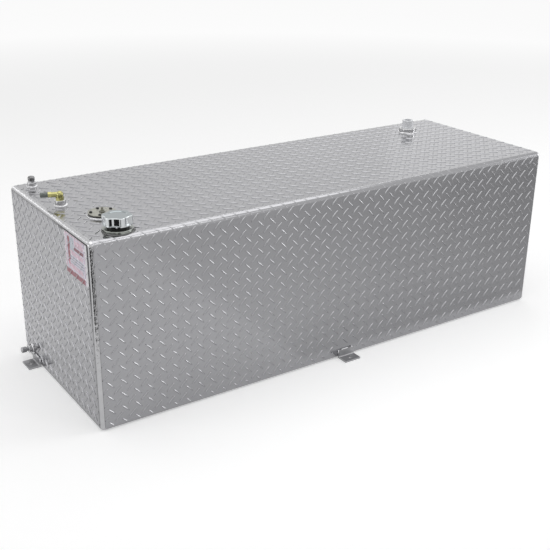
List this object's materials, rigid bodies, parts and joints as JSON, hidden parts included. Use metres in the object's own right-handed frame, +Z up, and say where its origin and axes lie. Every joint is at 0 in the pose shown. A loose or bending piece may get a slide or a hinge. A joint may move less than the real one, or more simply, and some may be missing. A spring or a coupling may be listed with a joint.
{
  "type": "truck bed transfer tank",
  "caption": "Rectangular tread-plate liquid tank with a screw filler cap, a float level sender, a brass outlet elbow, a roll-over vent, a drain and hold-down brackets.",
  "frame": {"origin": "centre of the tank's flat base", "axes": "+X along the tank to its plain right end, -Y towards the front that carries one bracket, +Z up"},
  "size_m": [1.5178, 0.543, 0.5206],
  "materials": {
    "tread_plate": "mill-bright rolled tread plate",
    "weld_metal": "as-welded, bright",
    "plain_aluminium": "mill finish",
    "turned_aluminium": "machined",
    "chrome": "polished chrome plate",
    "black_rubber": "moulded nitrile rubber",
    "yellow_zinc_steel": "steel with pale yellow zinc plate",
    "black_screws": "black oxide steel",
    "insulator_plastic": "black phenolic moulding",
    "natural_plastic": "natural nylon",
    "plain_steel": "bright steel",
    "float_foam": "closed-cell fuel-proof foam",
    "yellow_brass": "turned brass",
    "grey_rubber": "soft grey vinyl",
    "dull_zinc_steel": "dull zinc plate",
    "white_plastic": "moulded polyethylene",
    "label_vinyl": "printed vinyl in plain fields of colour"
  },
  "bodies": {
    "tank": {"body_wrap": "tread_plate", "seam_weld": "weld_metal", "left_end": "tread_plate", "right_end": "tread_plate", "left_corner_weld": "weld_metal", "right_corner_weld": "weld_metal", "left_baffle": "plain_aluminium", "right_baffle": "plain_aluminium", "filler_neck": "turned_aluminium", "sender_ring": "turned_aluminium", "sender_gasket": "black_rubber", "sender_disc": "yellow_zinc_steel", "sender_screws": "black_screws", "terminal_insulator": "natural_plastic", "sender_terminal": "yellow_zinc_steel", "sender_stem": "plain_steel", "resistor_box": "insulator_plastic", "pivot_pin": "plain_steel", "outlet_bung": "turned_aluminium", "draw_tube": "plain_aluminium", "outlet_elbow": "yellow_brass", "hose_barb": "yellow_brass", "dust_cap": "grey_rubber", "vent_bung": "turned_aluminium", "vent_body": "dull_zinc_steel", "vent_retainer": "plain_steel", "vent_cap": "dull_zinc_steel", "rear_bung": "turned_aluminium", "rear_plug": "white_plastic", "drain_bung": "turned_aluminium", "drain_plug": "dull_zinc_steel", "front_bracket": "plain_aluminium", "left_bracket": "plain_aluminium", "right_bracket": "plain_aluminium", "label": "label_vinyl"},
    "cap_gasket": {"cap_gasket": "black_rubber"},
    "filler_cap": {"filler_cap": "chrome"},
    "float_arm": {"float_arm": "plain_steel", "float": "float_foam", "float_clip": "plain_steel"},
    "vent_ball": {"vent_ball": "plain_steel"}
  },
  "joints": [
    {"name": "cap_lift", "type": "slide", "parent": "tank", "child": "cap_gasket", "axis": [0, 0, 1], "range_m": [0, 0.01]},
    {"name": "cap_turn", "type": "hinge", "parent": "cap_gasket", "child": "filler_cap", "pos_m": [-0.6329, -0.21, 0.5136], "axis": [0, 0, 1], "range_deg": [0, 720]},
    {"name": "float_swing", "type": "hinge", "parent": "tank", "child": "float_arm", "pos_m": [-0.6179, -0.091, 0.245], "axis": [0, -1, 0], "range_deg": [0, 88]},
    {"name": "ball_lift", "type": "slide", "parent": "tank", "child": "vent_ball", "axis": [0, 0, 1], "range_m": [0, 0.0103]}
  ],
  "couplings": [
    {"joint": "cap_lift", "follows": "cap_turn", "m_per_rad": 0.00079577}
  ]
}
